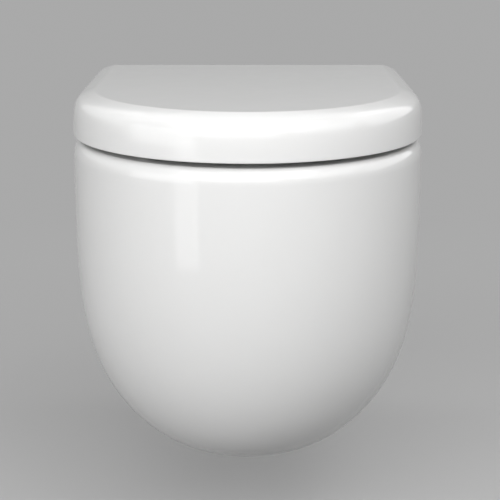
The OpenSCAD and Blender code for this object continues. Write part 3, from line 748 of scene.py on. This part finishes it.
# Seat
# A thick ring moulded in white thermoset, domed outside and dished inside, that lies on its
# pads inside the lid's skirt. The knuckles' leaves lie in recesses in its underside.
seat_low, seat_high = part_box("seat")
seat_z = seat_low.z
seat_t = seat_high.z - seat_z
seat_hw = seat_high.x
seat_front = -seat_low.y
seat_back = -seat_high.y
seat_nose = nose_l - (half_w - seat_hw)
seat_flat = seat_front - seat_nose
seat_corner_r = 0.014
seat_foot_r = 0.002
seat_out_r = 0.014
seat_in_r = 0.016
seat_dish = 0.001
hole_w = 0.224
hole_back = 0.15
hole_front = 0.071
hole_l = reach - hole_back - hole_front
hole_middle = np.array((0, -hole_back - hole_l / 2))
hole_exp = 2.2


def seat_outline():
    t = np.linspace(pi / 2, -pi / 2, 140)
    nose = np.stack([seat_hw * np.sin(t), -(seat_flat + seat_nose * np.cos(t))], axis=1)
    corner = np.linspace(pi, pi / 2, 12)
    arc = np.stack([seat_hw - seat_corner_r - seat_corner_r * np.cos(corner),
        -seat_back - seat_corner_r + seat_corner_r * np.sin(corner)], axis=1)
    side_y = np.linspace(-seat_flat, -seat_back - seat_corner_r, 20)[1:-1]
    side_line = np.stack([np.full_like(side_y, seat_hw), side_y], axis=1)
    rear_x = np.linspace(-seat_hw + seat_corner_r, seat_hw - seat_corner_r, 40)[1:-1]
    rear = np.stack([rear_x, np.full_like(rear_x, -seat_back)], axis=1)
    flip = np.array((-1, 1))
    return np.concatenate([nose, side_line * flip, arc * flip, rear, arc[::-1], side_line[::-1]])


def hole_point(p):
    d = p - hole_middle
    power = np.abs(d / np.array((hole_w / 2, hole_l / 2))) ** hole_exp
    return hole_middle + d * (power.sum(axis=-1, keepdims=True) ** (-1 / hole_exp))


def seat_section():
    """Points of the seat's section: the edge they hang on, the distance inwards and the height."""
    quarter = np.linspace(0, pi / 2, 12)
    foot = np.linspace(0, pi / 2, 5)
    return ([(0, seat_foot_r * (1 - sin(t)), seat_foot_r * (1 - cos(t))) for t in foot]
        + [(0, seat_out_r * (1 - cos(t)), seat_t - seat_out_r * (1 - sin(t))) for t in quarter]
        + [(1, -seat_in_r * (1 - cos(t)), seat_t - seat_dish - seat_in_r * (1 - sin(t)))
            for t in quarter[::-1]]
        + [(1, -seat_foot_r * (1 - sin(t)), seat_foot_r * (1 - cos(t))) for t in foot[::-1]])


def seat_ring():
    outline = seat_outline()
    across = hole_point(outline) - outline
    width = np.linalg.norm(across, axis=1, keepdims=True)
    rings = []
    for edge, inward, height in seat_section():
        flat = outline + across * (edge * width + inward) / width
        rings.append(np.column_stack([flat, np.full(len(flat), seat_z + height)]))
    return loft("seat_ring", rings, capped=False)


knuckle_l = 0.0215
side_play = 0.001
leaf_l = 0.042
leaf_t = 0.004
seat_knuckle_x = post_x - post_half - side_play - knuckle_l
lid_knuckle_x = post_x + post_half + side_play
screw_y = [-seat_back - 0.012, -seat_back - 0.03]
screw_r = 0.002
seat_screw_l = 0.018
white_thermoset = white_plastic("white_thermoset", 0.08)
seat = seat_ring()
for _, s in left_and_right:
    middle_x = s * (seat_knuckle_x + knuckle_l / 2)
    carve(seat, "DIFFERENCE", [block("leaf_recess",
        (middle_x - knuckle_l / 2 - over, -seat_back - leaf_l, seat_z - over),
        (middle_x + knuckle_l / 2 + over, -seat_back + over, seat_z + leaf_t + fit))])
    carve(seat, "DIFFERENCE", [rod(f"screw_way_{k}", (middle_x, y, seat_z),
        (0, 0, seat_screw_l + fit), screw_r + fit, sides=32) for k, y in enumerate(screw_y)])
install(dress(seat, white_thermoset), "seat", "seat_body")


# Seat pads and lid pads
# Round soft rubber buffers with soft edges, four under the seat and four under the lid. Each
# is held by a peg that is pressed into the plastic.
class Kit(Graph):
    """A shape grown from named sizes at each of several places."""

    def __init__(self, name, **sizes):
        super().__init__(bpy.data.node_groups.new(name, "GeometryNodeTree"))
        self.sizes = sizes
        self.socket("Places", "NodeSocketGeometry")
        for label in sizes:
            self.socket(label, "NodeSocketFloat")
        self.socket("Material", "NodeSocketMaterial")
        self.socket("Shape", "NodeSocketGeometry", "OUTPUT")
        self.given = self.node("NodeGroupInput", {})

    def socket(self, name, kind, direction="INPUT"):
        self.tree.interface.new_socket(name, in_out=direction, socket_type=kind)

    def vector(self, operation, *values, **named):
        return self.node("ShaderNodeVectorMath", {"operation": operation}, *values, **named)[0]

    def puck(self, radius, height, soft, low):
        """A round slice with soft edges, height thick from low upwards."""
        ball = self.node("GeometryNodeMeshUVSphere", {}, Segments=48, Rings=13, Radius=1.0)["Mesh"]
        point = self.node("GeometryNodeInputPosition", {})[0]
        parts = self.node("ShaderNodeSeparateXYZ", {}, point)
        level = self.node("ShaderNodeCombineXYZ", {}, parts[0], parts[1])[0]
        away = self.vector("NORMALIZE", level)
        rise = parts[2].math("SIGN") * (height * 0.5 - soft) + height * 0.5 + low
        place = self.vector("ADD", self.vector("SCALE", point, Scale=soft),
            self.vector("SCALE", away, Scale=radius - soft))
        place = self.vector("ADD", place, self.node("ShaderNodeCombineXYZ", {}, 0.0, 0.0, rise)[0])
        return self.node("GeometryNodeSetPosition", {}, ball, Position=place)[0]

    def close(self, shapes):
        """Ends the tree: the shapes stand at every place, realised and in one material."""
        whole = self.node("GeometryNodeJoinGeometry", {}, shapes)[0]
        placed = self.node("GeometryNodeInstanceOnPoints", {}, self.given["Places"],
            Instance=whole)[0]
        plain = self.node("GeometryNodeRealizeInstances", {}, placed)[0]
        dressed = self.node("GeometryNodeSetMaterial", {}, plain,
            Material=self.given["Material"])[0]
        self.node("NodeGroupOutput", {}, dressed)
        return self

    def make(self, name, places, material):
        mesh = bpy.data.meshes.new(name)
        mesh.from_pydata(places, [], [])
        piece = new_piece(name, mesh)
        grow = piece.modifiers.new(name, "NODES")
        grow.node_group = self.tree
        inputs = {item.name: item.identifier for item in self.tree.interface.items_tree
            if item.in_out == "INPUT"}
        for label, value in [*self.sizes.items(), ("Material", material)]:
            grow[inputs[label]] = value
        return dress(settle(piece), material)


peg_r = 0.003
peg_l = 0.003
seat_pad_at = [-0.6, 0.27]
lid_pad_at = [-0.24, 0.33]


def pad_kit(name, pad_h):
    kit = Kit(name, Pad_radius=0.0085, Pad_height=pad_h, Pad_edge=0.0012, Peg_radius=peg_r,
        Peg_length=peg_l, Peg_edge=0.0004)
    size = kit.given
    return kit.close([
        kit.puck(size["Pad_radius"], size["Pad_height"], size["Pad_edge"], 0.0),
        kit.puck(size["Peg_radius"], size["Peg_length"] + over, size["Peg_edge"],
            size["Pad_height"] - over),
    ])


def on_seat(shares, z):
    """Places on the middle of the seat's ring: 0 to 1 goes round the nose from its right end,
    and below 0 goes back along the straight side, by the share of its length."""
    places = []
    for share in shares:
        t = pi / 2 - pi * share
        p = np.array((seat_hw, -seat_flat - (seat_flat - seat_back) * share) if share < 0
            else (seat_hw * sin(t), -(seat_flat + seat_nose * cos(t))))
        x, y = (p + hole_point(p)) / 2
        places += [(x, y, z), (-x, y, z)]
    return places


def soft_pad():
    pad = Finish("soft_grey_rubber", 0.45, IOR=1.5, Subsurface_Weight=0.15,
        Subsurface_Radius=(0.002, 0.002, 0.002))
    pad.feed(Base_Color=pad.blend(pad.noise(200), (0.6, 0.6, 0.59), (0.68, 0.68, 0.67)))
    pad.feed(Roughness=pad.noise(300) * 0.12 + 0.42)
    pad.bump(pad.noise(1300), 0.00004)
    return pad.material


grey_rubber = soft_pad()
pads_low, pads_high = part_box("seat_pads")
seat_pads = pad_kit("seat_pad_kit", pads_high.z - peg_l - pads_low.z).make("seat_pad_set",
    on_seat(seat_pad_at, pads_low.z), grey_rubber)
install(seat_pads, "seat_pads", "seat_body")
pads_low, pads_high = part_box("lid_pads")
lid_pads = pad_kit("lid_pad_kit", pads_high.z - peg_l - pads_low.z).make("lid_pad_set",
    on_seat(lid_pad_at, pads_low.z), grey_rubber)
install(lid_pads, "lid_pads", "lid_body")


# Knuckles
# Zinc castings, two under the seat beside the posts' inner faces and two in the lid beside
# their outer faces. Each is a barrel on the hinge axis with an arm and a screwed leaf.
def soften(piece, width, angle):
    """Rounds the edges that are sharper than an angle in degrees."""
    edge = piece.modifiers.new("edge", "BEVEL")
    edge.width = width
    edge.segments = 2
    edge.limit_method = "ANGLE"
    edge.angle_limit = radians(angle)
    return settle(piece)


roof_t = 0.007
roof_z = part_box("lid")[1].z - roof_t
leaf_end = -seat_back - leaf_l + fit
arm_bend = 0.002
seat_arm_foot = axis_y - barrel_r + 0.003
lid_arm_foot = axis_y - 0.015
seat_arm = [(axis_y, axis_z - barrel_r), (axis_y - barrel_r, axis_z),
    (-seat_back + arm_bend, seat_z + leaf_t), (leaf_end, seat_z + leaf_t), (leaf_end, seat_z),
    (seat_arm_foot, seat_z)]
lid_arm = [(axis_y, axis_z + barrel_r), (axis_y - barrel_r, axis_z),
    (-seat_back - arm_bend, roof_z - leaf_t), (leaf_end, roof_z - leaf_t), (leaf_end, roof_z),
    (lid_arm_foot, roof_z)]
end_wall = 0.0015
damper_way_l = knuckle_l - end_wall + over
damper_r = 0.0085
screw_head_way_r = 0.004
screw_head_way_h = 0.002


def knuckle(name, x, arm, leaf_z, open_x, s):
    """x is the barrel's inner end, and open_x is where its damper's bore begins."""
    casting = loft(name, [[(s * at, y, z) for y, z in arm] for at in (x, x + knuckle_l)])
    soften(casting, width=0.0005, angle=30)
    carve(casting, "UNION", [rod("barrel", (s * x, axis_y, axis_z), (s * knuckle_l, 0, 0), barrel_r,
        soft=0.0007)])
    middle_x = s * (x + knuckle_l / 2)
    carve(casting, "DIFFERENCE", [rod("damper_way", (s * open_x, axis_y, axis_z),
        (s * damper_way_l, 0, 0), damper_r + fit)])
    for k, y in enumerate(screw_y):
        carve(casting, "DIFFERENCE", [
            rod(f"head_way_{k}", (middle_x, y, leaf_z - over), (0, 0, screw_head_way_h + over),
                screw_head_way_r, sides=48),
            rod(f"screw_way_{k}", (middle_x, y, leaf_z - 2 * over), (0, 0, leaf_t + 4 * over),
                screw_r + 2 * fit, sides=48)])
    return dress(casting, chrome)


for side, s in left_and_right:
    install(knuckle(side + "_seat_casting", seat_knuckle_x, seat_arm, seat_z,
        seat_knuckle_x + end_wall, s), side + "_seat_knuckle", "seat_body")
    install(knuckle(side + "_lid_casting", lid_knuckle_x, lid_arm, roof_z - leaf_t,
        lid_knuckle_x - over, s), side + "_lid_knuckle", "lid_body")


# Seat screws and lid screws
# Eight zinc plated steel screws, driven upwards through the knuckles' leaves into the plastic.
# Each has a low round head with a hexagon socket that lies below the leaf's face.
def screw_kit(name, shank_l):
    kit = Kit(name, Head_radius=0.0039, Head_height=0.00195, Head_edge=0.0004,
        Shank_radius=screw_r, Shank_length=shank_l, Shank_edge=0.0003, Socket_radius=0.0013,
        Socket_depth=0.001)
    size = kit.given
    head = kit.puck(size["Head_radius"], size["Head_height"], size["Head_edge"], 0.0)
    shank = kit.puck(size["Shank_radius"], size["Shank_length"] - over, size["Shank_edge"], over)
    hexagon = kit.node("GeometryNodeMeshCylinder", {}, Vertices=6, Radius=size["Socket_radius"],
        Depth=size["Socket_depth"] * 2)["Mesh"]
    head = kit.node("GeometryNodeMeshBoolean", {"operation": "DIFFERENCE", "solver": "EXACT"}, head,
        hexagon)["Mesh"]
    return kit.close([head, shank])


lid_screw_l = 0.008
for name, kit, x, z, body in (
    ("seat_screws", screw_kit("seat_screw_kit", seat_screw_l), seat_knuckle_x, seat_z,
        "seat_body"),
    ("lid_screws", screw_kit("lid_screw_kit", lid_screw_l), lid_knuckle_x, roof_z - leaf_t,
        "lid_body"),
):
    places = [(s * (x + knuckle_l / 2), y, z) for _, s in left_and_right for y in screw_y]
    install(kit.make(name[:-1] + "_set", places, zinc_along_z), name, body)


# Dampers, shafts, pins and bushes
# On the right a grey oil damper brakes the seat, and on the left one brakes the lid. Each has
# a steel shaft, and on the other side of each part a plain pin turns in a nylon bush.
def filled_plastic():
    moulded = Finish("glass_filled_plastic", 0.45, IOR=1.5)
    fibre = moulded.noise(700, detail=3.0, stretch=(0.3, 1, 1))
    moulded.feed(Base_Color=moulded.blend(fibre, (0.05, 0.052, 0.056), (0.075, 0.078, 0.082)))
    moulded.feed(Roughness=fibre * 0.2 + 0.38)
    moulded.bump(fibre, 0.00003)
    return moulded.material


refinish(filled_plastic(), "seat_damper", "lid_damper")
refinish(natural_nylon, "seat_bush", "lid_bush")
refinish(zinc_along_x, "seat_pin", "lid_pin", "seat_damper_shaft", "lid_damper_shaft")


# Lid
# A wrap-over cover moulded in white thermoset. Its flat top turns down through a wide round
# edge to a skirt that hides the seat, and it is open behind for the hinges.
lid_low, lid_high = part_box("lid")
lid_back = -lid_high.y
lid_h = lid_high.z - lid_low.z
lid_edge_w = 0.0225
lid_crest = radians(17)
crest_pull = 0.93 * lid_edge_w
skirt_pull = 0.82 * lid_h
lip_r = 0.001
skirt_t = 0.006


def lid_plan(inset, z):
    return d_plan(half_w - inset, reach - inset, nose_l - inset, lid_back, z, plan_steps)


def lid_edge(steps):
    """The curve from the skirt's lip up to the crest: distances inwards and heights."""
    t = np.linspace(0, 1, steps)[1:]
    points = ((0, 0), (0, skirt_pull), (lid_edge_w - crest_pull * cos(lid_crest),
        lid_h - crest_pull * sin(lid_crest)), (lid_edge_w, lid_h))
    shares = ((1 - t) ** 3, 3 * (1 - t) ** 2 * t, 3 * (1 - t) * t**2, t**3)
    return sum(share[:, None] * np.array(point) for share, point in zip(shares, points))


def lid_cover():
    outer = []
    inner = []
    for t in np.linspace(0, pi / 2, 6):
        outer.append(lid_plan(lip_r * (1 - sin(t)), lid_low.z + lip_r * (1 - cos(t))))
        inner.append(lid_plan(skirt_t, lid_low.z + lip_r * t / (pi / 2)))
    for inset, height in lid_edge(40):
        outer.append(lid_plan(inset, lid_low.z + height))
        inner.append(lid_plan(skirt_t + inset * (1 - skirt_t / lid_edge_w),
            lid_low.z + height * (1 - roof_t / lid_h)))
    outer.append(lid_plan(lid_edge_w + flat_rim, lid_high.z))
    inner.append(lid_plan(lid_edge_w + flat_rim, lid_high.z - roof_t))
    return open_shell("lid_cover", outer, inner, floor=False)


lid = lid_cover()
carve(lid, "DIFFERENCE", [rod(f"peg_way_{k}", (x, y, z - over), (0, 0, peg_l + over + fit),
    peg_r + fit, sides=48) for k, (x, y, z) in enumerate(on_seat(lid_pad_at, roof_z))])
carve(lid, "DIFFERENCE", [rod(f"screw_way_{side}_{k}", (s * (lid_knuckle_x + knuckle_l / 2), y,
    roof_z - over), (0, 0, lid_screw_l - leaf_t + over + fit), screw_r + fit, sides=32)
    for side, s in left_and_right for k, y in enumerate(screw_y)])
install(dress(lid, white_thermoset), "lid", "lid_body")


# Studio
# A pale floor runs into a backdrop of the same tone, and throws back less light than it seems
# to. Wide soft lamps stand in front, above, at the sides and behind: some show in the gloss
# alone, as long streaks in the glaze, and some light the toilet without a streak.
def where_seen(graph):
    """1 for the camera, in gloss and through glass, and 0 otherwise."""
    ray = graph.node("ShaderNodeLightPath", {})
    seen = ray["Is Camera Ray"].math("MAXIMUM", ray["Is Glossy Ray"])
    return seen.math("MAXIMUM", ray["Is Transmission Ray"])


def grey(level):
    return (level, level, level)


floor_z = -0.36
floor_half = 6
backdrop = 0.4
ambient = 0.1
near_glow = 0.12
near_grey = 0.42
bounce_grey = 0.2
fade_start = 0.4
fade_end = 1.5
floor_mesh = bpy.data.meshes.new("floor")
floor_mesh.from_pydata([(x * floor_half, y * floor_half, floor_z)
    for x, y in ((-1, -1), (1, -1), (1, 1), (-1, 1))], [], [(0, 1, 2, 3)])
floor = new_piece("floor", floor_mesh)
paint = Finish("floor_paint", 0.9, Emission_Strength=1.0, Specular_IOR_Level=0.0)
seen = where_seen(paint)
away = paint.node("ShaderNodeVectorMath", {"operation": "LENGTH"}, paint.place)["Value"]
far = paint.step(away, fade_start, fade_end)
seen_grey = paint.blend(far, grey(near_grey), grey(0))
paint.feed(Base_Color=paint.blend(seen, grey(bounce_grey), seen_grey))
glow = paint.blend(far, grey(near_glow), grey(backdrop))
paint.feed(Emission_Color=paint.blend(seen, grey(0), glow))
below = paint.node("ShaderNodeNewGeometry", {})["Backfacing"]
clear = paint.node("ShaderNodeBsdfTransparent", {})["BSDF"]
painted = Value(paint, paint.shader.outputs[0])
see_through = paint.node("ShaderNodeMixShader", {}, below, painted, clear)
paint.join(see_through["Shader"], paint.tree.nodes["Material Output"].inputs["Surface"])
floor.data.materials.append(paint.material)

world = bpy.data.worlds.new("world")
world.use_nodes = True
scene.world = world
sky = Graph(world.node_tree)
sky.join(where_seen(sky) * (backdrop - ambient) + ambient,
    world.node_tree.nodes["Background"].inputs["Color"])


pan_middle = (0, -0.3, 0)


def around(azimuth, elevation, distance):
    """A place round the pan, at an azimuth in degrees from the front towards the right."""
    level = distance * cos(radians(elevation))
    return (level * sin(radians(azimuth)), pan_middle[1] - level * cos(radians(azimuth)),
        distance * sin(radians(elevation)))


def soft_light(name, place, width, height, power, target=pan_middle):
    light = bpy.data.lights.new(name, "AREA")
    light.shape = "RECTANGLE"
    light.size = width
    light.size_y = height
    light.energy = power
    lamp = bpy.data.objects.new(name, light)
    lamp.location = place
    lamp.rotation_euler = (Vector(place) - Vector(target)).to_track_quat("Z", "Y").to_euler()
    lamp.visible_camera = False
    scene.collection.objects.link(lamp)
    return lamp


# Name, azimuth, elevation, distance, width, height, power, and which rays don't meet the lamp
for name, azimuth, elevation, distance, width, height, power, unmet in (
    ("front", -4, 30, 2.6, 4.4, 0.56, 33.5, None),
    ("high_front", -4, 42, 2.6, 4.4, 0.56, 8, None),
    ("low_front", -10, 18, 2.6, 3.2, 0.8, 19, None),
    ("high_right", 35, 50, 2.6, 1.4, 0.9, 11, None),
    ("above", -4, 80, 2.6, 4.4, 0.56, 19, None),
    ("left", -62, 9, 2.6, 2.3, 1.1, 14, None),
    ("right", 58, 25, 2.6, 2.0, 1.1, 11.5, None),
    ("right_rear", 112, 20, 2.6, 2.2, 1.0, 2, "glossy"),
    ("left_rear", -110, 20, 2.6, 2.0, 1.0, 1, None),
    ("rear", 180, 4, 2.8, 3.0, 0.8, 32, "glossy"),
    ("right_sheen", 116, 28, 2.6, 2.6, 1.9, 22, "diffuse"),
    ("left_sheen", -120, 28, 2.6, 2.6, 1.9, 7.5, "diffuse"),
    ("top_sheen", 180, 62, 2.6, 4.4, 1.5, 16, "diffuse"),
    ("front_sheen", -4, 56, 2.6, 4.4, 1.5, 34, "diffuse"),
):
    lamp = soft_light(name, around(azimuth, elevation, distance), width, height, power)
    if unmet:
        setattr(lamp, "visible_" + unmet, False)
strip_place = (-0.754, -1.193, -0.136)
strip_target = (-0.056, -0.49, 0.015)
soft_light("strip", strip_place, 0.3275, 0.448, 0.62, strip_target)
